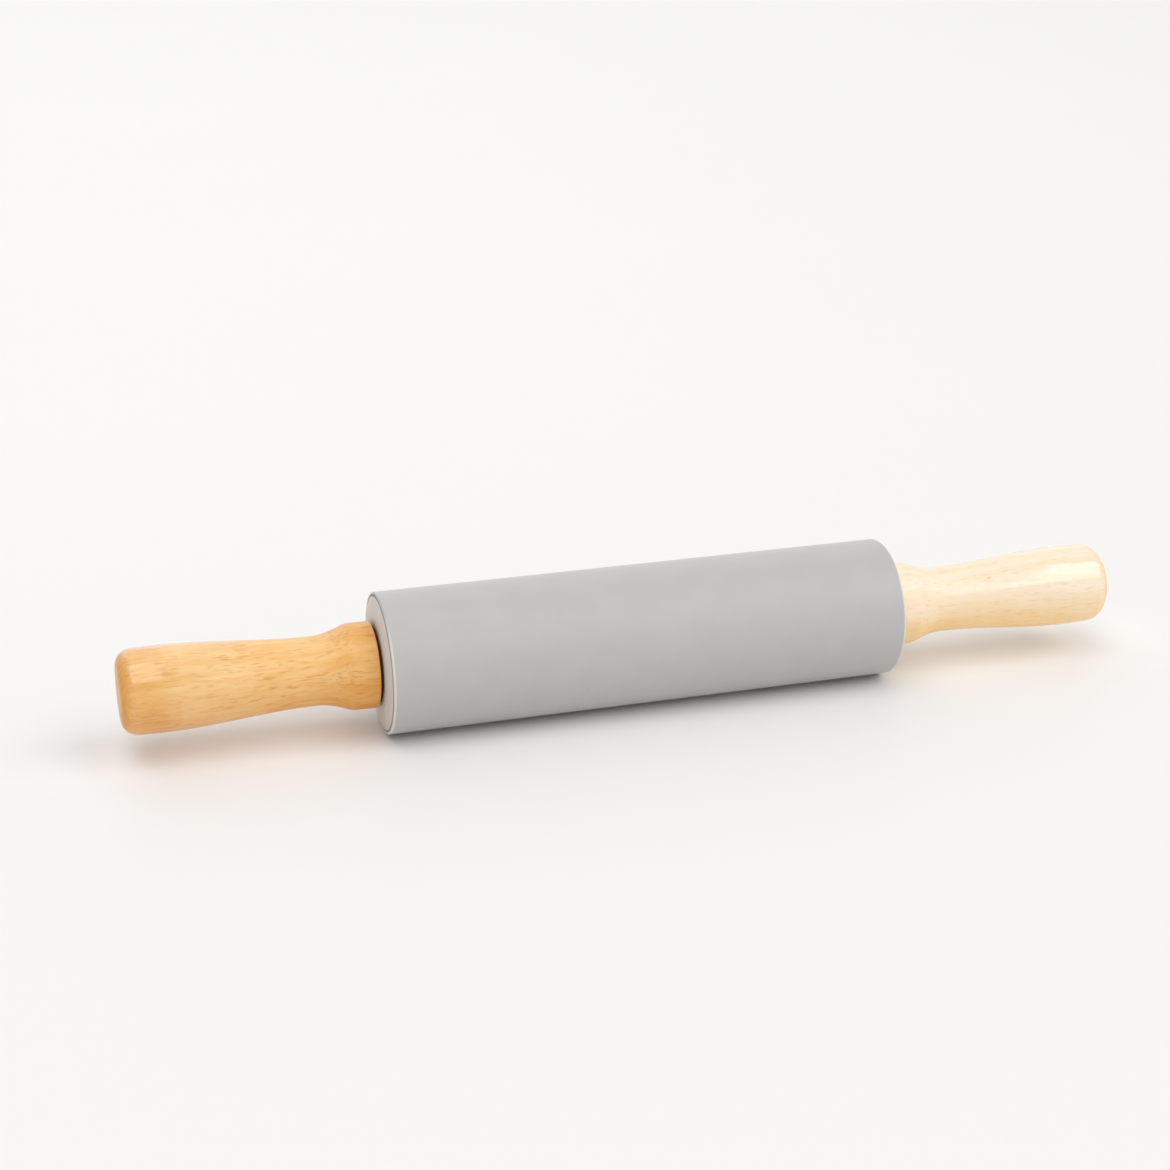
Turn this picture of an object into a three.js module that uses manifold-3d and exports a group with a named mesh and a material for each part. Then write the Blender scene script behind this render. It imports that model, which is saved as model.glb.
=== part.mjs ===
// A silicone rolling pin: a grey barrel that turns on a steel axle between two turned wooden handles.
// Millimetres, +Z up. The pin lies along X on the plane z = 0, with the origin on that plane under its middle.
import * as THREE from "three";
import { mergeVertices } from "three/addons/utils/BufferGeometryUtils.js";
import Module from "manifold-3d";

// Barrel: a silicone sleeve on a rigid core tube
const SLEEVE_DIAMETER = 55;
const SLEEVE_LENGTH = 207;
const SLEEVE_WALL = 1;
const SLEEVE_EDGE_RADIUS = 0.5;
const CORE_WALL = 5;

// End caps: a domed disc let into the end of the sleeve, a ring that plugs the core tube, and a ribbed hub
const CAP_RIM_THICKNESS = 1.6;
const CAP_RIM_RADIUS = 0.25;
const CAP_CROWN = 1.3;
const CAP_LAND_MARGIN = 0.8;
const PLUG_LENGTH = 14;
const PLUG_WALL = 2;
const PLUG_LEAD_IN = 0.8;
const HUB_LENGTH = 18;
const HUB_WALL = 2;
const RIB_COUNT = 6;
const RIB_THICKNESS = 2;
const RIB_LENGTH = 10;

// Axle, its bushes and the washers that keep the handles off the caps
const AXLE_DIAMETER = 8;
const AXLE_SHOULDER = 1;
const THREAD_LENGTH = 28;
const THREAD_CHAMFER = 0.8;
const BUSH_WALL = 2;
const BUSH_FLANGE_WIDTH = 3;
const BUSH_FLANGE_THICKNESS = 1;
const WASHER_WIDTH = 10.8;
const WASHER_THICKNESS = 0.9;

// Threaded inserts that hold the handles on the axle
const INSERT_WALL = 2.5;
const INSERT_RUNOUT = 4;
const BARB_COUNT = 5;
const BARB_DEPTH = 0.5;

// Handles, measured from the collar's flat face outwards
const HANDLE_LENGTH = 95.8;
const COLLAR_DIAMETER = 33.4;
const COLLAR_LENGTH = 8.2;
const COLLAR_EDGE_RADIUS = 0.6;
const COVE_LENGTH = 15.6;
const COVE_SHOULDER_REACH = 3.1;
const COVE_NECK_REACH = 8.6;
const NECK_DIAMETER = 26.5;
const BELLY_DIAMETER = 32.9;
const BELLY_FROM_BUTT = 16;
const BUTT_DIAMETER = 32.5;
const BUTT_EDGE_RADIUS = 6.2;
const DRILL_POINT_ANGLE = 118;

// Fits
const SEAT_CLEARANCE = 0.2;
const RUNNING_CLEARANCE = 0.15;

// Flats round each turned piece, and steps along each curve
const BARREL_SIDES = 48;
const HANDLE_SIDES = 36;
const FITTING_SIDES = 24;
const EDGE_STEPS = 3;
const DOME_STEPS = 4;
const COVE_STEPS = 8;
const SWELL_STEPS = 7;
const TAPER_STEPS = 3;
const BUTT_STEPS = 6;

// A gentle curve's end tangents each reach this share of its run
const EASE = 1 / 3;

// Radii of the nested fits, from the outside in and from the axle out
const sleeveRadius = SLEEVE_DIAMETER / 2;
const sleeveBore = sleeveRadius - SLEEVE_WALL;
const coreRadius = sleeveBore - SEAT_CLEARANCE;
const coreBore = coreRadius - CORE_WALL;
const plugRadius = coreBore - SEAT_CLEARANCE;
const plugBore = plugRadius - PLUG_WALL;
const capRadius = sleeveBore - SEAT_CLEARANCE;
const axleRadius = AXLE_DIAMETER / 2;
const threadRadius = axleRadius - AXLE_SHOULDER;
const bushBore = axleRadius + RUNNING_CLEARANCE;
const bushRadius = bushBore + BUSH_WALL;
const bushFlangeRadius = bushRadius + BUSH_FLANGE_WIDTH;
const washerRadius = bushBore + WASHER_WIDTH;
const hubBore = bushRadius + SEAT_CLEARANCE;
const hubRecess = bushFlangeRadius + SEAT_CLEARANCE;
const hubRadius = hubRecess + HUB_WALL;
const insertBore = threadRadius + SEAT_CLEARANCE;
const insertRadius = insertBore + INSERT_WALL;
const handleBore = insertRadius + SEAT_CLEARANCE;
const collarRadius = COLLAR_DIAMETER / 2;
const capLandRadius = collarRadius + CAP_LAND_MARGIN;

// Lengths that follow from others
const capThickness = CAP_RIM_THICKNESS + CAP_CROWN;
const insertLength = THREAD_LENGTH + INSERT_RUNOUT;

// Places along the axis, from the middle to the right
const capRim = SLEEVE_LENGTH / 2;
const capSeat = capRim - CAP_RIM_THICKNESS;
const capFace = capRim + CAP_CROWN;
const washerPlace = capFace + SEAT_CLEARANCE;
const handlePlace = washerPlace + WASHER_THICKNESS + SEAT_CLEARANCE;
const axleShoulder = handlePlace - SEAT_CLEARANCE;

// The barrel rests on one of its flats, so the axis stands at that flat's distance
const axisHeight = sleeveRadius * Math.cos(Math.PI / BARREL_SIDES);

const wasm = await Module();
wasm.setup();

// A solid turned about the X axis. Each profile point is [place along the axis, radius].
// A profile runs from the axis to the axis, or goes round a ring that is closed here.
function turned(profile, sides) {
  const points = profile.map(([along, radius]) => new THREE.Vector2(radius, along));
  const isRing = points[0].x > 0;
  if (isRing) points.push(points[0].clone());
  const flatAtBottom = Math.PI / sides;
  const geometry = new THREE.LatheGeometry(points, sides, flatAtBottom);
  geometry.rotateZ(-Math.PI / 2);
  return welded(geometry);
}

// The geometry with its shared vertices merged, holding positions only
function welded(geometry) {
  geometry.deleteAttribute("normal");
  geometry.deleteAttribute("uv");
  return mergeVertices(geometry);
}

function toSolid(geometry) {
  return new wasm.Manifold(
    new wasm.Mesh({
      numProp: 3,
      vertProperties: geometry.attributes.position.array,
      triVerts: new Uint32Array(geometry.index.array),
    }),
  );
}

function toGeometry(solid) {
  const mesh = solid.getMesh();
  const geometry = new THREE.BufferGeometry();
  geometry.setAttribute("position", new THREE.BufferAttribute(mesh.vertProperties, mesh.numProp));
  geometry.setIndex(new THREE.BufferAttribute(mesh.triVerts, 1));
  return geometry;
}

// A quarter-round edge about its centre, running clockwise, as profile points
function roundEdge(along, radius, edge, fromAngle, steps) {
  const arc = new THREE.EllipseCurve(along, radius, edge, edge, fromAngle, fromAngle - Math.PI / 2, true);
  return arc.getPoints(steps).map((point) => [point.x, point.y]);
}

// A free curve as profile points
function freeCurve(controls, steps) {
  const points = controls.map(([along, radius]) => new THREE.Vector2(along, radius));
  const curve = new THREE.CubicBezierCurve(...points);
  return curve.getPoints(steps).map((point) => [point.x, point.y]);
}

// A curve that leaves one radius and arrives at another, level with the axis at both ends
function easedCurve([fromAlong, fromRadius], [toAlong, toRadius], steps) {
  const reach = (toAlong - fromAlong) * EASE;
  const leaving = [fromAlong + reach, fromRadius];
  const arriving = [toAlong - reach, toRadius];
  return freeCurve([[fromAlong, fromRadius], leaving, arriving, [toAlong, toRadius]], steps);
}

// A tube centred on the middle, with the outer edges of its ends rounded
function siliconeSleeve() {
  const end = SLEEVE_LENGTH / 2;
  const edgeAlong = end - SLEEVE_EDGE_RADIUS;
  const edgeRadius = sleeveRadius - SLEEVE_EDGE_RADIUS;
  return turned(
    [
      [end, sleeveBore],
      [-end, sleeveBore],
      ...roundEdge(-edgeAlong, edgeRadius, SLEEVE_EDGE_RADIUS, Math.PI, EDGE_STEPS),
      ...roundEdge(edgeAlong, edgeRadius, SLEEVE_EDGE_RADIUS, Math.PI / 2, EDGE_STEPS),
    ],
    BARREL_SIDES,
  );
}

function coreTube() {
  const end = capSeat - SEAT_CLEARANCE;
  return turned(
    [
      [end, coreBore],
      [-end, coreBore],
      [-end, coreRadius],
      [end, coreRadius],
    ],
    BARREL_SIDES,
  );
}

// The cap's flat land is at 0, and everything that plugs into the barrel is on the negative side
function endCap() {
  const plugEnd = -capThickness - PLUG_LENGTH;
  const hubEnd = -capThickness - HUB_LENGTH;
  const recessFloor = -BUSH_FLANGE_THICKNESS - SEAT_CLEARANCE;
  const rimAlong = -CAP_CROWN - CAP_RIM_RADIUS;
  const rimRadius = capRadius - CAP_RIM_RADIUS;
  const domeReach = (rimRadius - capLandRadius) * EASE;
  const domeFoot = [-CAP_CROWN, rimRadius];
  const domeTop = [0, capLandRadius];
  const domeSteepest = [-CAP_CROWN * EASE, rimRadius - domeReach];
  const domeFlattest = [0, capLandRadius + domeReach];
  let solid = toSolid(
    turned(
      [
        [0, hubRecess],
        [recessFloor, hubRecess],
        [recessFloor, hubBore],
        [hubEnd, hubBore],
        [hubEnd, hubRadius],
        [-capThickness, hubRadius],
        [-capThickness, plugBore],
        [plugEnd, plugBore],
        [plugEnd, plugRadius - PLUG_LEAD_IN],
        [plugEnd + PLUG_LEAD_IN, plugRadius],
        [-capThickness, plugRadius],
        [-capThickness, capRadius],
        ...roundEdge(rimAlong, rimRadius, CAP_RIM_RADIUS, Math.PI / 2, EDGE_STEPS),
        ...freeCurve([domeFoot, domeSteepest, domeFlattest, domeTop], DOME_STEPS).slice(1),
      ],
      BARREL_SIDES,
    ),
  );
  // Each rib is rooted in the disc, the hub's wall and the plug's wall
  const ribInner = hubRadius - HUB_WALL / 2;
  const ribOuter = plugBore + PLUG_WALL / 2;
  const ribRoot = -capThickness + CAP_RIM_THICKNESS / 2;
  const ribEnd = -capThickness - RIB_LENGTH;
  for (let i = 0; i < RIB_COUNT; i++) {
    const rib = new THREE.BoxGeometry(ribRoot - ribEnd, RIB_THICKNESS, ribOuter - ribInner);
    rib.translate((ribRoot + ribEnd) / 2, 0, (ribOuter + ribInner) / 2);
    rib.rotateX((i * 2 * Math.PI) / RIB_COUNT);
    solid = solid.add(toSolid(welded(rib)));
  }
  return toGeometry(solid);
}

// The flange's face is at 0, and the body reaches inwards to the end of the hub
function bush() {
  const bodyEnd = -capThickness - HUB_LENGTH;
  return turned(
    [
      [0, bushBore],
      [bodyEnd, bushBore],
      [bodyEnd, bushRadius],
      [-BUSH_FLANGE_THICKNESS, bushRadius],
      [-BUSH_FLANGE_THICKNESS, bushFlangeRadius],
      [0, bushFlangeRadius],
    ],
    FITTING_SIDES,
  );
}

function thrustWasher() {
  return turned(
    [
      [WASHER_THICKNESS, bushBore],
      [0, bushBore],
      [0, washerRadius],
      [WASHER_THICKNESS, washerRadius],
    ],
    FITTING_SIDES,
  );
}

// One rod through the barrel, with a shoulder at each handle and a reduced end that screws into the insert
function axleRod() {
  const tip = axleShoulder + THREAD_LENGTH;
  return turned(
    [
      [-tip, 0],
      [-tip, threadRadius - THREAD_CHAMFER],
      [-tip + THREAD_CHAMFER, threadRadius],
      [-axleShoulder, threadRadius],
      [-axleShoulder, axleRadius],
      [axleShoulder, axleRadius],
      [axleShoulder, threadRadius],
      [tip - THREAD_CHAMFER, threadRadius],
      [tip, threadRadius - THREAD_CHAMFER],
      [tip, 0],
    ],
    FITTING_SIDES,
  );
}

// A tube with saw-tooth barbs that grip the wood, its open end flush with the handle's collar
function threadedInsert() {
  const pitch = insertLength / BARB_COUNT;
  const barbs = [];
  for (let i = 0; i < BARB_COUNT; i++) {
    barbs.push([i * pitch, insertRadius]);
    barbs.push([(i + 1) * pitch, insertRadius - BARB_DEPTH]);
  }
  return turned([[insertLength, insertBore], [0, insertBore], ...barbs], FITTING_SIDES);
}

// The collar's face is at 0. Outwards come the collar, a cove down to the neck, a long swell to the belly,
// a slight taper and the rounded butt. A drilled hole takes the insert.
function handle() {
  const neckRadius = NECK_DIAMETER / 2;
  const bellyRadius = BELLY_DIAMETER / 2;
  const buttRadius = BUTT_DIAMETER / 2;
  const neckPlace = COLLAR_LENGTH + COVE_LENGTH;
  const bellyPlace = HANDLE_LENGTH - BELLY_FROM_BUTT;
  const buttPlace = HANDLE_LENGTH - BUTT_EDGE_RADIUS;
  const holeEnd = insertLength + SEAT_CLEARANCE;
  const drillPoint = handleBore / Math.tan(THREE.MathUtils.degToRad(DRILL_POINT_ANGLE / 2));
  const coveTop = [COLLAR_LENGTH, collarRadius];
  const coveShoulder = [COLLAR_LENGTH + COVE_SHOULDER_REACH, collarRadius];
  const coveFoot = [neckPlace - COVE_NECK_REACH, neckRadius];
  const neck = [neckPlace, neckRadius];
  const belly = [bellyPlace, bellyRadius];
  const butt = [buttPlace, buttRadius];
  const collarEdge = collarRadius - COLLAR_EDGE_RADIUS;
  return turned(
    [
      [holeEnd + drillPoint, 0],
      [holeEnd, handleBore],
      [0, handleBore],
      ...roundEdge(COLLAR_EDGE_RADIUS, collarEdge, COLLAR_EDGE_RADIUS, Math.PI, EDGE_STEPS),
      ...freeCurve([coveTop, coveShoulder, coveFoot, neck], COVE_STEPS),
      ...easedCurve(neck, belly, SWELL_STEPS).slice(1),
      ...easedCurve(belly, butt, TAPER_STEPS).slice(1),
      ...roundEdge(buttPlace, buttRadius - BUTT_EDGE_RADIUS, BUTT_EDGE_RADIUS, Math.PI / 2, BUTT_STEPS).slice(1),
      [HANDLE_LENGTH, 0],
    ],
    HANDLE_SIDES,
  );
}

// Colours and finishes
const silicone = new THREE.MeshStandardMaterial({ color: 0xbdbdbb, roughness: 0.62, metalness: 0 });
const capPlastic = new THREE.MeshStandardMaterial({ color: 0xc4bfbc, roughness: 0.5, metalness: 0 });
const corePlastic = new THREE.MeshStandardMaterial({ color: 0xe6e4dd, roughness: 0.45, metalness: 0 });
const nylon = new THREE.MeshStandardMaterial({ color: 0x2a2724, roughness: 0.5, metalness: 0 });
const steel = new THREE.MeshStandardMaterial({ color: 0xb9bcc0, roughness: 0.3, metalness: 1 });
const brass = new THREE.MeshStandardMaterial({ color: 0xc9a44c, roughness: 0.35, metalness: 1 });
const wood = new THREE.MeshStandardMaterial({ color: 0xe8bd82, roughness: 0.45, metalness: 0 });

function piece(name, geometry, material, along = 0) {
  const mesh = new THREE.Mesh(geometry, material);
  mesh.name = name;
  mesh.position.x = along;
  return mesh;
}

const pin = new THREE.Group();
pin.position.z = axisHeight;
pin.add(piece("silicone_sleeve", siliconeSleeve(), silicone));
pin.add(piece("core_tube", coreTube(), corePlastic));
pin.add(piece("axle_rod", axleRod(), steel));

// The two ends are alike: the left one is the right one turned half round
const ends = { left: Math.PI, right: 0 };
for (const [side, turn] of Object.entries(ends)) {
  const end = new THREE.Group();
  end.rotation.z = turn;
  end.add(piece(`${side}_end_cap`, endCap(), capPlastic, capFace));
  end.add(piece(`${side}_bush`, bush(), nylon, capFace));
  end.add(piece(`${side}_thrust_washer`, thrustWasher(), nylon, washerPlace));
  end.add(piece(`${side}_threaded_insert`, threadedInsert(), brass, handlePlace));
  end.add(piece(`${side}_handle`, handle(), wood, handlePlace));
  pin.add(end);
}

const rollingPin = new THREE.Group();
rollingPin.add(pin);

export default rollingPin;
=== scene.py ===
"""Looks of a kitchen rolling pin: a satin grey silicone barrel between two lacquered wooden handles.

Metres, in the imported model's frame: the axle runs along X, Z is up and the barrel rests on Z = 0.
"""

from math import hypot, pi, radians, tan

import bmesh
import bpy
from mathutils import Euler, Matrix, Vector
from mathutils.geometry import interpolate_bezier


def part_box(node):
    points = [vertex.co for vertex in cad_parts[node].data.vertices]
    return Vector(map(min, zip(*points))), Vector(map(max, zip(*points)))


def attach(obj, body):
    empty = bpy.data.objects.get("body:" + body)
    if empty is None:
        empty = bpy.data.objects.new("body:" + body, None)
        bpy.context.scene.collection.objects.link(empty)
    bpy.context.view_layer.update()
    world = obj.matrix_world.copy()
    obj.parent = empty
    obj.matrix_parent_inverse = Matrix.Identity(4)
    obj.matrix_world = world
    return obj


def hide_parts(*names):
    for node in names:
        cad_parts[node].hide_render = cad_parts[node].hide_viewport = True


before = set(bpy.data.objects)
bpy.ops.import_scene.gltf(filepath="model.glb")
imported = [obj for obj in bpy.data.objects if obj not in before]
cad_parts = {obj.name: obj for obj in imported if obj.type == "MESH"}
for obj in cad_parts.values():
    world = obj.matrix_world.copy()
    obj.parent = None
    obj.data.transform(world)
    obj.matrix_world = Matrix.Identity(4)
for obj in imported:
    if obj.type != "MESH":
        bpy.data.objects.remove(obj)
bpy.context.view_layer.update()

MM = 0.001
WELD = 0.0001 * MM
SHARP_FROM = radians(40)

# Sides of a turned piece, points along one of its curves, and steps across one of its rounded edges
BARREL_SIDES = 192
HANDLE_SIDES = 128
FITTING_SIDES = 96
CURVE_POINTS = 24
EDGE_STEPS = 6
RIM_STEPS = 4
FITTING_STEPS = 3
FINE_STEPS = 2

# Pulls of a free curve as shares of its reach, for an eased curve and for a quarter of a circle
EASE = 1 / 3
QUARTER_CIRCLE = 4 / 3 * tan(pi / 8)

# Edges that a tool or a mould leaves rounded
SLEEVE_EDGE = 0.5 * MM
CAP_RIM_EDGE = 0.25 * MM
COLLAR_EDGE = 0.6 * MM
BUTT_EDGE = 6.2 * MM
FINE_EDGE = 0.15 * MM
ROUND_PROFILE = 0.5
ON_EDGE = FINE_EDGE / 10

# Barrel
SLEEVE_WALL = 1 * MM
CORE_WALL = 5 * MM
CAP_RIM_THICKNESS = 1.6 * MM
CAP_CROWN = 1.3 * MM
CAP_LAND_RADIUS = 17.5 * MM
PLUG_RADIUS = 21.1 * MM
PLUG_WALL = 2 * MM
PLUG_LENGTH = 14 * MM
PLUG_LEAD_IN = 0.8 * MM
HUB_RADIUS = 11.35 * MM
HUB_BORE = 6.35 * MM
HUB_WALL = 2 * MM
BUSH_RECESS_RADIUS = 9.35 * MM
BUSH_RECESS_DEPTH = 1.2 * MM
RIB_COUNT = 6
RIB_THICKNESS = 2 * MM
RIB_LENGTH = 10 * MM

# Axle fittings
AXLE_RADIUS = 4 * MM
THREAD_RADIUS = 3 * MM
THREAD_CHAMFER = 0.8 * MM
FITTING_BORE = 4.15 * MM
BUSH_RADIUS = 6.15 * MM
BUSH_FLANGE_THICKNESS = 1 * MM
INSERT_BORE = 3.2 * MM
BARB_COUNT = 5
BARB_DEPTH = 0.5 * MM

# Handle, measured outwards from the flat face of its collar
COLLAR_LENGTH = 8.2 * MM
COVE_LENGTH = 15.6 * MM
COVE_SHOULDER_REACH = 3.1 * MM
COVE_NECK_REACH = 8.6 * MM
COLLAR_RADIUS = 16.7 * MM
NECK_RADIUS = 13.25 * MM
BELLY_RADIUS = 16.45 * MM
BELLY_FROM_BUTT = 16 * MM
BUTT_RADIUS = 16.25 * MM
BORE_RADIUS = 5.9 * MM
BORE_DEPTH = 32.2 * MM
DRILL_POINT_ANGLE = radians(118)


def span(node):
    """Where a node starts and ends along the axle, and how far it reaches from it."""
    low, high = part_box(node)
    return low.x, high.x, (high.z - low.z) / 2


sleeve_start, sleeve_end, sleeve_radius = span("silicone_sleeve")
core_start, core_end, core_radius = span("core_tube")
_, axle_end, _ = span("axle_rod")
cap_start, cap_face, cap_radius = span("right_end_cap")
bush_start, bush_face, bush_flange_radius = span("right_bush")
washer_start, washer_end, washer_radius = span("right_thrust_washer")
insert_start, insert_end, insert_radius = span("right_threaded_insert")
collar_face, butt_end, _ = span("right_handle")
sleeve_low, sleeve_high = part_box("silicone_sleeve")
AXIS_HEIGHT = (sleeve_low.z + sleeve_high.z) / 2


# Shapes

def as_mesh(name, bm):
    """A mesh from a finished shape, which is used up."""
    mesh = bpy.data.meshes.new(name)
    bm.to_mesh(mesh)
    bm.free()
    return mesh


def in_scene(name, data):
    """A new object in the scene."""
    thing = bpy.data.objects.new(name, data)
    bpy.context.scene.collection.objects.link(thing)
    return thing


def turned(outline, sides):
    """A solid turned about the axle from (place along it, radius) points.

    The outline runs from the axis to the axis, or goes round a ring that is closed here.
    """
    bm = bmesh.new()
    points = [bm.verts.new((along, 0, radius)) for along, radius in outline]
    pairs = list(zip(points, points[1:]))
    is_ring = outline[0][1] > 0
    if is_ring:
        pairs.append((points[-1], points[0]))
    lines = [bm.edges.new(pair) for pair in pairs]
    bmesh.ops.spin(
        bm, geom=points + lines, cent=(0, 0, 0), axis=(1, 0, 0), angle=2 * pi, steps=sides, use_merge=True
    )
    bmesh.ops.remove_doubles(bm, verts=bm.verts, dist=WELD)
    bmesh.ops.recalc_face_normals(bm, faces=bm.faces)
    return bm


def ease_edge(bm, along, radius, size, steps):
    """Rounds the ring of edges at one place along the axle and one radius."""

    def on_ring(vert):
        offset = hypot(vert.co.x - along, hypot(vert.co.y, vert.co.z) - radius)
        return offset < ON_EDGE

    ring = [edge for edge in bm.edges if all(on_ring(vert) for vert in edge.verts)]
    bmesh.ops.bevel(
        bm,
        geom=ring,
        offset=size,
        offset_type="OFFSET",
        affect="EDGES",
        segments=steps,
        profile=ROUND_PROFILE,
    )


def free_curve(start, start_pull, end_pull, end):
    """Points along a free curve between two (along, radius) ends, each with the point that pulls it."""
    knots = [Vector((*point, 0)) for point in (start, start_pull, end_pull, end)]
    return [(point.x, point.y) for point in interpolate_bezier(*knots, CURVE_POINTS)]


def eased_curve(start, end):
    """A curve that leaves one radius and reaches another, level with the axle at both ends."""
    pull = (end[0] - start[0]) * EASE
    return free_curve(start, (start[0] + pull, start[1]), (end[0] - pull, end[1]), end)


def tube_outline(start, end, bore, radius):
    return [(start, bore), (start, radius), (end, radius), (end, bore)]


def sleeve_shape():
    bore = sleeve_radius - SLEEVE_WALL
    bm = turned(tube_outline(sleeve_start, sleeve_end, bore, sleeve_radius), BARREL_SIDES)
    for end in (sleeve_start, sleeve_end):
        ease_edge(bm, end, sleeve_radius, SLEEVE_EDGE, EDGE_STEPS)
        ease_edge(bm, end, bore, FINE_EDGE, FINE_STEPS)
    return bm


def core_shape():
    bm = turned(tube_outline(core_start, core_end, core_radius - CORE_WALL, core_radius), BARREL_SIDES)
    for end in (core_start, core_end):
        ease_edge(bm, end, core_radius, FINE_EDGE, FINE_STEPS)
    return bm


def cap_shape():
    """A domed disc let into the end of the sleeve, a ring that plugs the core, and a ribbed hub."""
    seat = cap_face - CAP_CROWN - CAP_RIM_THICKNESS
    plug_end = seat - PLUG_LENGTH
    plug_bore = PLUG_RADIUS - PLUG_WALL
    rim = (cap_face - CAP_CROWN, cap_radius)
    pull = (cap_radius - CAP_LAND_RADIUS) * EASE
    dome = free_curve(
        rim,
        (cap_face - CAP_CROWN * EASE, cap_radius - pull),
        (cap_face, CAP_LAND_RADIUS + pull),
        (cap_face, CAP_LAND_RADIUS),
    )
    bm = turned(
        [
            (cap_face, BUSH_RECESS_RADIUS),
            (cap_face - BUSH_RECESS_DEPTH, BUSH_RECESS_RADIUS),
            (cap_face - BUSH_RECESS_DEPTH, HUB_BORE),
            (cap_start, HUB_BORE),
            (cap_start, HUB_RADIUS),
            (seat, HUB_RADIUS),
            (seat, plug_bore),
            (plug_end, plug_bore),
            (plug_end, PLUG_RADIUS - PLUG_LEAD_IN),
            (plug_end + PLUG_LEAD_IN, PLUG_RADIUS),
            (seat, PLUG_RADIUS),
            (seat, cap_radius),
            *dome,
        ],
        BARREL_SIDES,
    )
    ease_edge(bm, *rim, CAP_RIM_EDGE, RIM_STEPS)
    ease_edge(bm, cap_face, BUSH_RECESS_RADIUS, FINE_EDGE, FINE_STEPS)
    return with_added(bm, cap_ribs(seat, plug_bore))


def cap_ribs(seat, plug_bore):
    """Ribs rooted in the cap's disc, its hub and its plug ring."""
    inner = HUB_RADIUS - HUB_WALL / 2
    outer = plug_bore + PLUG_WALL / 2
    root = seat + CAP_RIM_THICKNESS / 2
    length = RIB_LENGTH + CAP_RIM_THICKNESS / 2
    bm = bmesh.new()
    for number in range(RIB_COUNT):
        rib = bmesh.ops.create_cube(bm, size=1)["verts"]
        bmesh.ops.scale(bm, vec=(length, RIB_THICKNESS, outer - inner), verts=rib)
        bmesh.ops.translate(bm, vec=(root - length / 2, 0, (outer + inner) / 2), verts=rib)
        turn = Matrix.Rotation(number * 2 * pi / RIB_COUNT, 3, "X")
        bmesh.ops.rotate(bm, cent=(0, 0, 0), matrix=turn, verts=rib)
    return bm


def washer_shape():
    ring = tube_outline(washer_start, washer_end, FITTING_BORE, washer_radius)
    bm = turned(ring, FITTING_SIDES)
    for corner in ring:
        ease_edge(bm, *corner, FINE_EDGE, FITTING_STEPS)
    return bm


def bush_shape():
    flange_back = bush_face - BUSH_FLANGE_THICKNESS
    inner_corner = (flange_back, BUSH_RADIUS)
    ring = [
        (bush_start, FITTING_BORE),
        (bush_start, BUSH_RADIUS),
        inner_corner,
        (flange_back, bush_flange_radius),
        (bush_face, bush_flange_radius),
        (bush_face, FITTING_BORE),
    ]
    bm = turned(ring, FITTING_SIDES)
    for corner in ring:
        if corner != inner_corner:
            ease_edge(bm, *corner, FINE_EDGE, FITTING_STEPS)
    return bm


def insert_shape():
    """A threaded tube with saw-tooth barbs that grip the wood."""
    pitch = (insert_end - insert_start) / BARB_COUNT
    barbs = []
    for number in range(BARB_COUNT):
        barbs.append((insert_start + number * pitch, insert_radius))
        barbs.append((insert_start + (number + 1) * pitch, insert_radius - BARB_DEPTH))
    return turned([(insert_end, INSERT_BORE), (insert_start, INSERT_BORE), *barbs], FITTING_SIDES)


def axle_shape():
    half = [
        (washer_end, AXLE_RADIUS),
        (washer_end, THREAD_RADIUS),
        (axle_end - THREAD_CHAMFER, THREAD_RADIUS),
        (axle_end, THREAD_RADIUS - THREAD_CHAMFER),
        (axle_end, 0),
    ]
    other_half = [(-along, radius) for along, radius in reversed(half)]
    return turned(other_half + half, FITTING_SIDES)


def handle_shape():
    """Collar, cove, neck, a long swell to the belly, a slight taper and a rounded butt.

    The collar is drilled for the handle's insert.
    """
    neck_place = collar_face + COLLAR_LENGTH + COVE_LENGTH
    belly_place = butt_end - BELLY_FROM_BUTT
    butt_place = butt_end - BUTT_EDGE
    shoulder = (collar_face + COLLAR_LENGTH, COLLAR_RADIUS)
    neck = (neck_place, NECK_RADIUS)
    belly = (belly_place, BELLY_RADIUS)
    cove = free_curve(
        shoulder,
        (shoulder[0] + COVE_SHOULDER_REACH, COLLAR_RADIUS),
        (neck_place - COVE_NECK_REACH, NECK_RADIUS),
        neck,
    )
    butt_arc = QUARTER_CIRCLE * BUTT_EDGE
    butt_round = free_curve(
        (butt_place, BUTT_RADIUS),
        (butt_place + butt_arc, BUTT_RADIUS),
        (butt_end, BUTT_RADIUS - BUTT_EDGE + butt_arc),
        (butt_end, BUTT_RADIUS - BUTT_EDGE),
    )
    bore_end = collar_face + BORE_DEPTH
    bm = turned(
        [
            (bore_end + BORE_RADIUS / tan(DRILL_POINT_ANGLE / 2), 0),
            (bore_end, BORE_RADIUS),
            (collar_face, BORE_RADIUS),
            (collar_face, COLLAR_RADIUS),
            *cove,
            *eased_curve(neck, belly)[1:],
            *eased_curve(belly, butt_round[0])[1:],
            *butt_round[1:],
            (butt_end, 0),
        ],
        HANDLE_SIDES,
    )
    ease_edge(bm, collar_face, COLLAR_RADIUS, COLLAR_EDGE, EDGE_STEPS)
    return bm


def with_added(bm, addition):
    """One closed solid from two that overlap."""
    pair = [in_scene("joining", as_mesh("joining", shape)) for shape in (bm, addition)]
    union = pair[0].modifiers.new("union", "BOOLEAN")
    union.operation = "UNION"
    union.solver = "EXACT"
    union.object = pair[1]
    joined = bmesh.new()
    joined.from_object(pair[0], bpy.context.evaluated_depsgraph_get())
    for thing in pair:
        bpy.data.meshes.remove(thing.data)
    return joined


# Finishes

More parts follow.
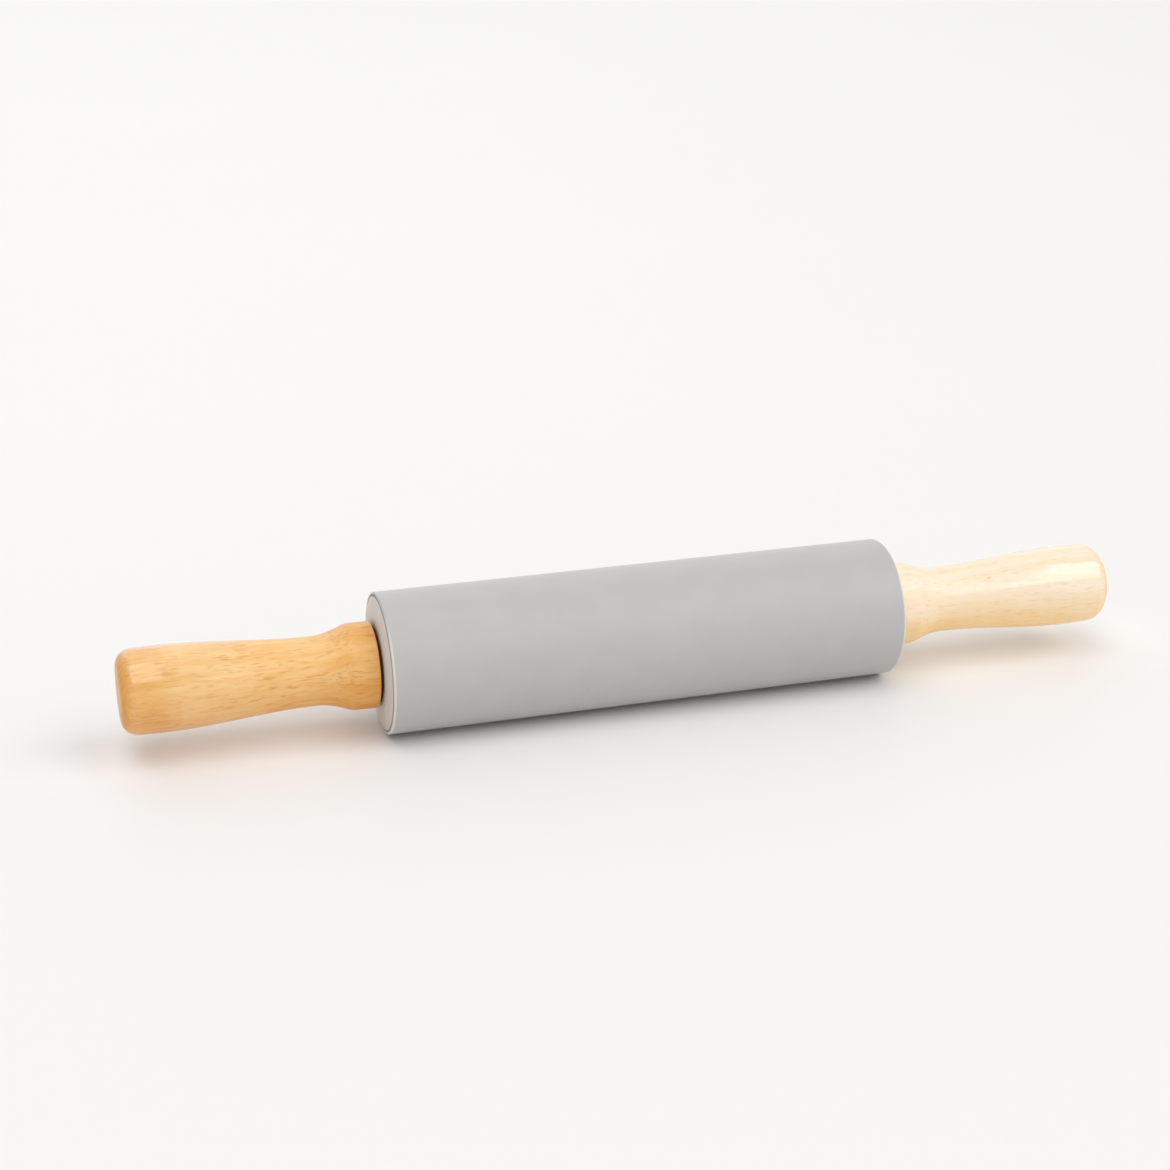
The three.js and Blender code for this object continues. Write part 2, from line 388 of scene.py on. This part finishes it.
# Layers in a noise, how crisp they are, the middle of its values and where most of them lie
SOFT_NOISE = 1.0
PLAIN_NOISE = 2.0
FINE_NOISE = 3.0
PLAIN_CRISPNESS = 0.5
NOISE_MIDDLE = 0.5
NOISE_RANGE = (0.25, 0.75)

# Sockets of a Mix node that are for colours
MIX_FACTOR = 0
MIX_FIRST = 6
MIX_SECOND = 7
MIX_RESULT = 2

# How a dash fades from the middle of its cell, and how gradually cells go without one
DASH_FADE = (0.1, 0.46)
CHANCE_FADE = 0.2


def tint(red, green, blue):
    """A colour as a screen shows it, 0 to 255, as the shader's linear values by the sRGB rule."""

    def linear(level):
        share = level / 255
        return share / 12.92 if share <= 0.04045 else ((share + 0.055) / 1.055) ** 2.4

    return (linear(red), linear(green), linear(blue), 1)


def even(size):
    """The same size along X, Y and Z."""
    return (size, size, size)


def strand(length, width):
    """One size along X, and another across it."""
    return (length, width, width)


class Shade:
    """One socket among a finish's nodes. Arithmetic adds Math nodes, and add() adds any other node."""

    def __init__(self, tree, socket=None):
        self.tree = tree
        self.socket = socket

    def feed(self, node, inputs):
        """Sets a node's sockets, by name or number, to values or links."""
        for name, value in inputs.items():
            if isinstance(value, Shade):
                self.tree.links.new(value.socket, node.inputs[name])
            else:
                node.inputs[name].default_value = value

    def add(self, kind, settings=None, inputs=None, output=0):
        """Adds a node: its settings first, then its sockets."""
        node = self.tree.nodes.new(kind)
        for name, setting in (settings or {}).items():
            setattr(node, name, setting)
        self.feed(node, inputs or {})
        return Shade(self.tree, node.outputs[output])

    def maths(self, operation, *values):
        return self.add("ShaderNodeMath", {"operation": operation}, dict(enumerate(values)))

    def __add__(self, other):
        return self.maths("ADD", self, other)

    __radd__ = __add__

    def __sub__(self, other):
        return self.maths("SUBTRACT", self, other)

    def __rsub__(self, other):
        return self.maths("SUBTRACT", other, self)

    def __mul__(self, other):
        return self.maths("MULTIPLY", self, other)

    __rmul__ = __mul__

    def rise(self, start, end):
        """0 up to start and 1 past end, eased between."""
        return self.add(
            "ShaderNodeMapRange",
            {"interpolation_type": "SMOOTHSTEP"},
            {"Value": self, "From Min": start, "From Max": end},
        )

    def swing(self, size):
        """This noise as a swing about 0, of this size from end to end."""
        return (self - NOISE_MIDDLE) * size

    def mixed(self, other, share):
        """This noise with a share of another in it."""
        return self * (1 - share) + other * share

    def wave(self, spacing):
        """A wave between 0 and 1 that comes again at this spacing of the value."""
        return self.maths("SINE", self * (2 * pi / spacing)) * 0.5 + 0.5

    def blend(self, first, second):
        """A colour from first to second as this value goes from 0 to 1."""
        inputs = {MIX_FACTOR: self, MIX_FIRST: first, MIX_SECOND: second}
        return self.add("ShaderNodeMix", {"data_type": "RGBA"}, inputs, MIX_RESULT)

    def times(self, factors):
        """This vector with each part multiplied."""
        return self.add("ShaderNodeVectorMath", {"operation": "MULTIPLY"}, {0: self, 1: factors})

    def moved(self, shift):
        """This vector with another added."""
        return self.add("ShaderNodeVectorMath", {"operation": "ADD"}, {0: self, 1: shift})

    def counted_in(self, sizes):
        """This place counted in these sizes along X, Y and Z."""
        return self.times(tuple(1 / size for size in sizes))

    def cloud(self, sizes, detail=PLAIN_NOISE, crispness=PLAIN_CRISPNESS, output=0):
        """Noise on this place, with lumps of these sizes."""
        inputs = {"Vector": self.counted_in(sizes), "Scale": 1.0, "Detail": detail, "Roughness": crispness}
        return self.add("ShaderNodeTexNoise", {}, inputs, output)

    def cells(self, sizes, output=0):
        """Cells of these sizes about random points: how far this place is from its point, or its colour."""
        return self.add("ShaderNodeTexVoronoi", {}, {"Vector": self.counted_in(sizes), "Scale": 1.0}, output)

    def dashes(self, sizes, share):
        """Soft dashes in a random share of the cells of these sizes."""
        dash = 1 - self.cells(sizes).rise(*DASH_FADE)
        chance = self.cells(sizes, "Color").part("X")
        return dash * chance.rise(1 - share - CHANCE_FADE, 1 - share + CHANCE_FADE)

    def waver(self, sizes, reach, detail=PLAIN_NOISE):
        """Shifts across X within this reach, from noise with lumps of these sizes."""
        noise = self.cloud(sizes, detail, output="Color")
        return noise.moved(even(-NOISE_MIDDLE)).times((0, reach, reach))

    def part(self, letter):
        return self.add("ShaderNodeSeparateXYZ", {}, {"Vector": self}, letter)

    def length(self):
        return self.add("ShaderNodeVectorMath", {"operation": "LENGTH"}, {0: self}, "Value")

    def from_axle(self):
        return self.times((0, 1, 1)).length()

    def from_middle(self):
        return self.times((1, 0, 0)).length()

    def bump(self, strength, depth):
        return self.add("ShaderNodeBump", {}, {"Strength": strength, "Distance": depth, "Height": self})


def new_finish(name, height=AXIS_HEIGHT):
    """A material, its shader, and the place on the piece measured from the middle at this height."""
    material = bpy.data.materials.new(name)
    material.use_nodes = True
    tree = material.node_tree
    shader = tree.nodes["Principled BSDF"]
    on_piece = Shade(tree).add("ShaderNodeTexCoord", output="Object")
    return material, shader, on_piece.moved((0, 0, -height))


# Silicone: its skin, a few flecks, and a painted highlight on its cut ends, the floor's light on the rounded
# edge, that fades towards the top
SILICONE_PALE = tint(188, 187, 185)
SILICONE_DEEP = tint(184, 183, 181)
MOTTLE_SIZES = strand(14 * MM, 9 * MM)
PEEL_SIZES = even(1.6 * MM)
GRIT_SIZES = even(0.35 * MM)
GRIT_IN_COLOUR = 0.3
GRIT_IN_RELIEF = 0.5
FLECK_GREY = tint(120, 118, 115)
FLECK_CELL_SIZES = even(16 * MM)
FLECK_FADE = (0.012, 0.03)
FLECK_DEPTH = 0.25
LIP_HIGHLIGHT = tint(226, 221, 217)
LIP_HIGHLIGHT_FADE = (14 * MM, 25 * MM)
LIP_HIGHLIGHT_DEPTH = 0.85
SILICONE_ROUGHNESS = 0.45
MOTTLE_ROUGHNESS = 0.08
GRIT_ROUGHNESS = 0.06
SILICONE_BUMP = (0.06, 0.1 * MM)
SILICONE_SHEEN = 0.55
SILICONE_SHEEN_ROUGHNESS = 0.3
SILICONE_IOR = 1.45


def satin_silicone():
    material, shader, place = new_finish("satin_silicone")
    mottle = place.cloud(MOTTLE_SIZES, FINE_NOISE)
    peel = place.cloud(PEEL_SIZES)
    grit = place.cloud(GRIT_SIZES)
    fleck = 1 - place.cells(FLECK_CELL_SIZES).rise(*FLECK_FADE)
    cut_edge = place.from_middle().rise(sleeve_end - 2 * SLEEVE_EDGE, sleeve_end - SLEEVE_EDGE)
    # Painted highlight: the cut edge made paler on its lower part, standing in for the floor's light on the
    # rounded edge
    lip_highlight = cut_edge * (1 - place.part("Z").rise(*LIP_HIGHLIGHT_FADE))
    colour = mottle.mixed(grit, GRIT_IN_COLOUR).rise(*NOISE_RANGE).blend(SILICONE_DEEP, SILICONE_PALE)
    colour = (fleck * FLECK_DEPTH).blend(colour, FLECK_GREY)
    colour = (lip_highlight * LIP_HIGHLIGHT_DEPTH).blend(colour, LIP_HIGHLIGHT)
    place.feed(shader, {
        "Base Color": colour,
        "Roughness": SILICONE_ROUGHNESS + mottle.swing(MOTTLE_ROUGHNESS) + grit.swing(GRIT_ROUGHNESS),
        "Normal": peel.mixed(grit, GRIT_IN_RELIEF).bump(*SILICONE_BUMP),
        "Sheen Weight": SILICONE_SHEEN,
        "Sheen Roughness": SILICONE_SHEEN_ROUGHNESS,
        "IOR": SILICONE_IOR,
    })
    return material


# Plastic: its grain, and how far from a joint its painted seam shade starts and is full
DRIFT_SIZES = strand(18 * MM, 7 * MM)
SPARK_SIZES = even(0.4 * MM)
SPARK_IN_COLOUR = 0.25
DRIFT_ROUGHNESS = 0.12
SPARK_ROUGHNESS = 0.1
SPARK_BUMP = (0.1, 0.06 * MM)
SEAM_SHADE_GREY = tint(122, 116, 112)
SEAM_SHADE_START = 0.8 * MM
SEAM_SHADE_FULL = 0.3 * MM
SEAM_SHADE_DEPTH = 0.8
PLASTIC_IOR = 1.5


def moulded_plastic(name, pale, deep, roughness, joint_radius=None, ior=PLASTIC_IOR):
    """Fine-grained plastic, with painted shade where it is let into another piece at joint_radius."""
    material, shader, place = new_finish(name)
    drift = place.cloud(DRIFT_SIZES)
    spark = place.cloud(SPARK_SIZES)
    colour = drift.mixed(spark, SPARK_IN_COLOUR).rise(*NOISE_RANGE).blend(deep, pale)
    if joint_radius:
        # Painted shade: the plastic darker near the rim where it meets the sleeve, standing in for the shade
        # in the seam
        seam_shade = place.from_axle().rise(joint_radius - SEAM_SHADE_START, joint_radius - SEAM_SHADE_FULL)
        colour = (seam_shade * SEAM_SHADE_DEPTH).blend(colour, SEAM_SHADE_GREY)
    place.feed(shader, {
        "Base Color": colour,
        "Roughness": roughness + drift.swing(DRIFT_ROUGHNESS) + spark.swing(SPARK_ROUGHNESS),
        "Normal": spark.bump(*SPARK_BUMP),
        "IOR": ior,
    })
    return material


# Metal: its tool rings, and smudges
TOOL_RING_SIZES = strand(0.18 * MM, 30 * MM)
SMUDGE_SIZES = even(9 * MM)
SMUDGE_IN_COLOUR = 0.5
METAL_RANGE = (0.3, 0.7)
TOOL_RING_ROUGHNESS = 0.2
SMUDGE_ROUGHNESS = 0.12
TOOL_RING_BUMP = (0.15, 0.03 * MM)


def turned_metal(name, pale, deep, roughness):
    """Metal with fine rings left by the turning tool."""
    material, shader, place = new_finish(name)
    rings = place.cloud(TOOL_RING_SIZES, FINE_NOISE)
    smudge = place.cloud(SMUDGE_SIZES)
    place.feed(shader, {
        "Base Color": rings.mixed(smudge, SMUDGE_IN_COLOUR).rise(*METAL_RANGE).blend(deep, pale),
        "Metallic": 1.0,
        "Roughness": roughness + rings.swing(TOOL_RING_ROUGHNESS) + smudge.swing(SMUDGE_ROUGHNESS),
        "Normal": rings.bump(*TOOL_RING_BUMP),
    })
    return material


# Wood: how its fibres wander, and the sizes of its figure along and across the grain
SWAY_SIZES = strand(34 * MM, 12 * MM)
SWAY_REACH = 3 * MM
RIPPLE_SIZES = strand(7 * MM, 2.5 * MM)
RIPPLE_REACH = 0.6 * MM
RING_SPACING = 5.2 * MM
RING_SLANT = (0.05, 1, 1)
BROAD_SIZES = strand(34 * MM, 6 * MM)
STREAK_SIZES = strand(13 * MM, 1.3 * MM)
STREAK_CRISPNESS = 0.55
FIBRE_SIZES = strand(5 * MM, 0.4 * MM)
FIBRE_CRISPNESS = 0.6
PATCH_SIZES = strand(26 * MM, 5 * MM)
PATCH_FADE = (0.36, 0.6)
LINE_SIZES = strand(8 * MM, 0.75 * MM)
LINE_FADE = (0.52, 0.72)
DASH_SIZES = strand(6 * MM, 1 * MM)
DASH_SHARE = 0.4
SPECK_SIZES = strand(1.8 * MM, 0.8 * MM)
SPECK_FADE = (0.2, 1)
SPECK_DEPTH = 0.75

# Wood: what its tone is made of, and where it is deeper
RING_IN_TONE = 0.1
BROAD_IN_TONE = 0.5
STREAK_IN_TONE = 0.5
FIBRE_IN_TONE = 0.1
TONE_RANGE = (0.38, 0.8)
UNDERSIDE_SHADE_FADE = (-9 * MM, 7 * MM)
COLLAR_FADE = (collar_face + 6 * MM, collar_face + 30 * MM)
BUTT_FADE = (butt_end - 24 * MM, butt_end - 10 * MM)

# Wood: end grain on the butt
END_GRAIN_FADE = 3.4 * MM
END_GRAIN_DEPTH = 0.8
END_RING_SPACING = 2.6 * MM
END_PORE_SIZES = strand(20 * MM, 0.5 * MM)
END_PORE_SHARE = 0.5
END_RANGE = (0.3, 0.85)
END_PATTERN_LEAST = 0.25
END_PATTERN_BROAD = 0.5

# Wood: its surface, and its lacquer, which is thin near the collar, over the pores and on the end grain
WOOD_ROUGHNESS = 0.46
FIBRE_ROUGHNESS = 0.12
DASH_ROUGHNESS = 0.1
FIBRE_RELIEF = 0.3
DASH_RELIEF = 0.7
WOOD_BUMP = (0.08, 0.1 * MM)
WOOD_IOR = 1.45
LACQUER_FADE = (collar_face + 30 * MM, collar_face + 72 * MM)
LACQUER_LEAST = 0.2
LACQUER_GAIN = 0.75
LACQUER_LOSS_ON_DASH = 0.15
LACQUER_LOSS_ON_END = 0.75
LACQUER_ROUGHNESS = 0.1
LACQUER_IOR = 1.62


def grain_place(place, turn):
    """The place along the wandering fibres of a blank that is rolled about the axle."""
    inputs = {"Vector": place, "Rotation": (turn, 0, 0)}
    rolled = place.add("ShaderNodeMapping", {"vector_type": "POINT"}, inputs)
    sway = rolled.waver(SWAY_SIZES, SWAY_REACH)
    ripple = rolled.waver(RIPPLE_SIZES, RIPPLE_REACH, SOFT_NOISE)
    return rolled.moved(sway).moved(ripple)


def lacquered_wood(
    name, pale, warm, deep, pore, turn, heart, underside_shade, end_depth, line_depth, dash_depth, end_reach, specks
):
    """Fine-grained hardwood under clear lacquer, with its grain along the handle.

    turn rolls the blank about the axle, heart is the middle of the tree's rings across the blank,
    underside_shade says how much painted shade deepens its underside, end_depth how much deeper its ends
    are, and line_depth and dash_depth how dark its wavy lines and its pore dashes are. end_reach is how far
    from the butt the end grain begins, and specks are the places of brown specks, in millimetres from the
    middle of the axle.
    """
    material, shader, place = new_finish(name)
    along = place.from_middle()
    grain = grain_place(place, turn)
    from_heart = grain.moved((0, *heart)).times(RING_SLANT).length()
    broad = grain.cloud(BROAD_SIZES)
    streak = grain.cloud(STREAK_SIZES, FINE_NOISE, STREAK_CRISPNESS)
    fibre = grain.cloud(FIBRE_SIZES, PLAIN_NOISE, FIBRE_CRISPNESS)
    patch = grain.cloud(PATCH_SIZES, SOFT_NOISE).rise(*PATCH_FADE)
    line = grain.cloud(LINE_SIZES).rise(*LINE_FADE) * patch
    dash = grain.dashes(DASH_SIZES, DASH_SHARE)

    tone = from_heart.wave(RING_SPACING) * RING_IN_TONE + broad * BROAD_IN_TONE
    tone = tone + streak * STREAK_IN_TONE + fibre * FIBRE_IN_TONE
    colour = tone.rise(*TONE_RANGE).blend(pale, warm)
    underside = 1 - place.part("Z").rise(*UNDERSIDE_SHADE_FADE)
    near_collar = 1 - along.rise(*COLLAR_FADE)
    near_butt = along.rise(*BUTT_FADE)
    # Painted shade: each handle is made deeper towards its underside, as light from above would leave it
    depth = underside * underside_shade + (near_collar + near_butt) * end_depth
    colour = (depth * (broad + streak)).blend(colour, deep)
    colour = (line * line_depth).blend(colour, pore)
    colour = (dash * dash_depth).blend(colour, pore)
    for speck in specks:
        from_speck = place.moved(tuple(-part * MM for part in speck)).counted_in(SPECK_SIZES).length()
        colour = (SPECK_DEPTH - from_speck.rise(*SPECK_FADE) * SPECK_DEPTH).blend(colour, pore)

    end_grain = along.rise(butt_end - end_reach, butt_end - end_reach + END_GRAIN_FADE)
    end_pattern = from_heart.wave(END_RING_SPACING).mixed(grain.cloud(END_PORE_SIZES), END_PORE_SHARE)
    end_colour = end_pattern.rise(*END_RANGE).blend(deep, pore)
    end_colour = (broad * END_PATTERN_BROAD + END_PATTERN_LEAST).blend(deep, end_colour)
    colour = (end_grain * END_GRAIN_DEPTH).blend(colour, end_colour)

    lacquer = LACQUER_LEAST + along.rise(*LACQUER_FADE) * LACQUER_GAIN
    lacquer = lacquer - dash * LACQUER_LOSS_ON_DASH - end_grain * LACQUER_LOSS_ON_END
    place.feed(shader, {
        "Base Color": colour,
        "Roughness": WOOD_ROUGHNESS + fibre.swing(FIBRE_ROUGHNESS) + dash * DASH_ROUGHNESS,
        "Normal": (fibre * FIBRE_RELIEF - dash * DASH_RELIEF).bump(*WOOD_BUMP),
        "Coat Weight": lacquer,
        "Coat Roughness": LACQUER_ROUGHNESS,
        "Coat IOR": LACQUER_IOR,
        "IOR": WOOD_IOR,
    })
    return material


SILICONE = satin_silicone()
CAP_PLASTIC = moulded_plastic(
    "cap_plastic",
    pale=tint(217, 214, 211),
    deep=tint(212, 209, 206),
    roughness=0.48,
    joint_radius=cap_radius,
)
CORE_PLASTIC = moulded_plastic(
    "core_plastic", pale=tint(232, 230, 223), deep=tint(224, 221, 213), roughness=0.42
)
# Partly painted shade: the washers' dark brown is their own, and it also stands in for the shade in the gap
# between each handle and its cap
NYLON_AND_GAP_SHADE = moulded_plastic(
    "dark_nylon_and_gap_shade", pale=tint(78, 42, 27), deep=tint(70, 37, 24), roughness=0.7, ior=1.2
)
STEEL = turned_metal(
    "axle_steel", pale=tint(196, 198, 202), deep=tint(168, 170, 175), roughness=0.3
)
BRASS = turned_metal(
    "insert_brass", pale=tint(214, 176, 92), deep=tint(186, 146, 66), roughness=0.34
)
LEFT_WOOD = lacquered_wood(
    "honey_hardwood",
    pale=tint(246, 204, 142),
    warm=tint(240, 187, 113),
    deep=tint(230, 158, 56),
    pore=tint(206, 138, 60),
    turn=0.6,
    heart=(32 * MM, 21 * MM),
    underside_shade=0.38,
    end_depth=0.5,
    line_depth=0.75,
    dash_depth=0.4,
    end_reach=4.2 * MM,
    specks=((-142.8, -13.0, -3.1), (-157.0, -13.8, -1.4)),
)
# Partly painted light: the right handle's paler tints stand in for the brighter light and washed-out
# highlight on that side of the same wood
RIGHT_WOOD = lacquered_wood(
    "pale_hardwood_painted_light",
    pale=tint(251, 235, 212),
    warm=tint(250, 226, 193),
    deep=tint(255, 212, 139),
    pore=tint(214, 166, 108),
    turn=2.1,
    heart=(26 * MM, -30 * MM),
    underside_shade=0.75,
    end_depth=0.0,
    line_depth=0.2,
    dash_depth=0.25,
    end_reach=5.0 * MM,
    specks=((148.1, -9.4, 11.0), (142.6, -7.8, 11.9)),
)


# Pieces

def place_piece(name, bm, node, body, material, on_left=False):
    """Puts a finished shape in the scene in place of its CAD node, riding on that node's body."""
    if on_left:
        bmesh.ops.rotate(bm, cent=(0, 0, 0), matrix=Matrix.Rotation(pi, 3, "Z"), verts=bm.verts)
    bmesh.ops.translate(bm, vec=(0, 0, AXIS_HEIGHT), verts=bm.verts)
    mesh = as_mesh(name, bm)
    mesh.shade_smooth()
    mesh.set_sharp_from_angle(angle=SHARP_FROM)
    mesh.materials.append(material)
    piece = in_scene(name, mesh)
    even_shading = piece.modifiers.new("even_shading", "WEIGHTED_NORMAL")
    even_shading.keep_sharp = True
    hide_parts(node)
    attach(piece, body)


place_piece("satin_sleeve", sleeve_shape(), "silicone_sleeve", "barrel", SILICONE)
place_piece("core_pipe", core_shape(), "core_tube", "barrel", CORE_PLASTIC)
place_piece("steel_axle", axle_shape(), "axle_rod", "handle_set", STEEL)
for side, wood in (("left", LEFT_WOOD), ("right", RIGHT_WOOD)):
    on_left = side == "left"
    end_pieces = (
        ("cap_moulding", cap_shape, "end_cap", "barrel", "cap_plastic", CAP_PLASTIC),
        ("flanged_bush", bush_shape, "bush", "barrel", "nylon", NYLON_AND_GAP_SHADE),
        ("nylon_washer", washer_shape, "thrust_washer", "handle_set", "nylon", NYLON_AND_GAP_SHADE),
        ("brass_insert", insert_shape, "threaded_insert", "handle_set", "brass", BRASS),
        ("turned_handle", handle_shape, "handle", "handle_set", "wood", wood),
    )
    for name, shape, node, body, slot, material in end_pieces:
        place_piece(f"{side}_{name}", shape(), f"{side}_{node}", body, material, on_left)


# Studio

# Floor
FLOOR_HEIGHT = 0
FLOOR_REACH = 15
FLOOR_WHITE = tint(238, 237, 236)
FLOOR_DRIFT_SIZES = even(0.3)
FLOOR_ROUGHNESS = 0.32
FLOOR_DRIFT_ROUGHNESS = 0.05
FLOOR_SHINE = 0.06

# Lamps and room. A lamp's face has a brightness of 1 at this many watts for each square metre
LAMP_HEIGHT = 40
LAMP_WATTS = 4
ROOM_WHITE = (1, 1, 1, 1)
WALL_LEVEL = 0.8
CEILING_LEVEL = 0.25
WALL_TOP = 0.1
CEILING_EDGE = 0.7
BOUNCE_LEVEL = 0.7
BOUNCE_TOWARDS = (0, 0.68, 0.73)
BOUNCE_SPREAD = (0.6, 0.95)

# Camera, solved from the outlines in the photograph
CAMERA_PLACE = (-0.24499, -0.74314, 0.34307)
CAMERA_YAW = radians(16.748)
CAMERA_PITCH = radians(-20.6665)
CAMERA_ROLL = radians(-0.115)
FRAME_PIXELS = 1170
FOCAL_PIXELS = 2132.3
SENSOR_WIDTH = 36


def studio_floor():
    bm = bmesh.new()
    bmesh.ops.create_grid(bm, x_segments=1, y_segments=1, size=FLOOR_REACH)
    floor = in_scene("studio_floor", as_mesh("studio_floor", bm))
    material, shader, place = new_finish("floor_paper", FLOOR_HEIGHT)
    drift = place.cloud(FLOOR_DRIFT_SIZES)
    place.feed(shader, {
        "Base Color": FLOOR_WHITE,
        "Roughness": FLOOR_ROUGHNESS + drift.swing(FLOOR_DRIFT_ROUGHNESS),
        "Specular IOR Level": FLOOR_SHINE,
    })
    floor.data.materials.append(material)


def softbox(name, left, right, front, back, brightness):
    """A flat lamp overhead, given by the slopes of its sides as seen from the pin."""
    lamp = bpy.data.lights.new(name, "AREA")
    lamp.shape = "RECTANGLE"
    lamp.size = (right - left) * LAMP_HEIGHT
    lamp.size_y = (back - front) * LAMP_HEIGHT
    lamp.energy = LAMP_WATTS * brightness * lamp.size * lamp.size_y
    holder = in_scene(name, lamp)
    holder.location = ((left + right) / 2 * LAMP_HEIGHT, (front + back) / 2 * LAMP_HEIGHT, LAMP_HEIGHT)


def room_light():
    """A white room that darkens towards its ceiling, with light bounced off it behind the table."""
    world = bpy.data.worlds.new("studio")
    world.use_nodes = True
    tree = world.node_tree
    direction = Shade(tree).add("ShaderNodeTexCoord", output="Generated")
    ceiling = direction.part("Z").rise(WALL_TOP, CEILING_EDGE)
    room = WALL_LEVEL + ceiling * (CEILING_LEVEL - WALL_LEVEL)
    pair = {0: direction, 1: BOUNCE_TOWARDS}
    facing = direction.add("ShaderNodeVectorMath", {"operation": "DOT_PRODUCT"}, pair, "Value")
    level = room + facing.rise(*BOUNCE_SPREAD) * BOUNCE_LEVEL
    direction.feed(tree.nodes["Background"], {"Color": ROOM_WHITE, "Strength": level})
    bpy.context.scene.world = world


def photo_camera():
    lens = bpy.data.cameras.new("photo_camera")
    lens.sensor_fit = "HORIZONTAL"
    lens.sensor_width = SENSOR_WIDTH
    lens.lens = FOCAL_PIXELS / FRAME_PIXELS * SENSOR_WIDTH
    camera = in_scene("photo_camera", lens)
    aim = Euler((pi / 2 + CAMERA_PITCH, 0, -CAMERA_YAW)).to_matrix() @ Matrix.Rotation(CAMERA_ROLL, 3, "Z")
    camera.matrix_world = Matrix.Translation(CAMERA_PLACE) @ aim.to_4x4()
    bpy.context.scene.camera = camera


studio_floor()
softbox("left_softbox", left=-0.6, right=0.08, front=-1.05, back=0.15, brightness=1.7)
softbox("right_softbox", left=0.42, right=1.6, front=-1.6, back=-0.1, brightness=2.05)
room_light()
photo_camera()
bpy.context.scene.view_settings.view_transform = "Standard"
